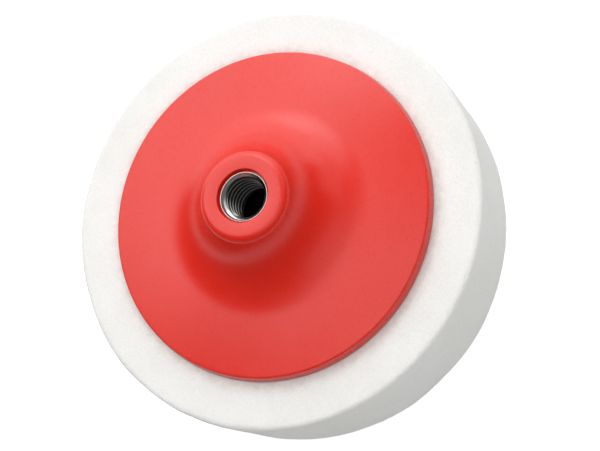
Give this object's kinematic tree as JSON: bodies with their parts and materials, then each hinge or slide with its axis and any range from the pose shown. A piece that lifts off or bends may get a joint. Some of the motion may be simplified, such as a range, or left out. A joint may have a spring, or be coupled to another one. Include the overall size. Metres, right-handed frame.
{
  "type": "polishing pad",
  "caption": "Foam polishing pad bonded to a moulded backing plate whose flared hub holds a steel threaded insert for a polisher's spindle.",
  "frame": {"origin": "centre of the polishing face, at the bottom of the pad as it stands on a table", "axes": "+Z along the spindle axis, out of the mouth of the threaded insert; X and Y are free, because the pad is round"},
  "size_m": [0.15, 0.15, 0.0762],
  "materials": {
    "foam": "matte",
    "adhesive": "satin",
    "plate": "satin",
    "insert": "satin"
  },
  "bodies": {
    "root": {"foam_pad": "foam", "adhesive_layer": "adhesive", "backing_plate": "plate", "threaded_insert": "insert"}
  },
  "joints": []
}
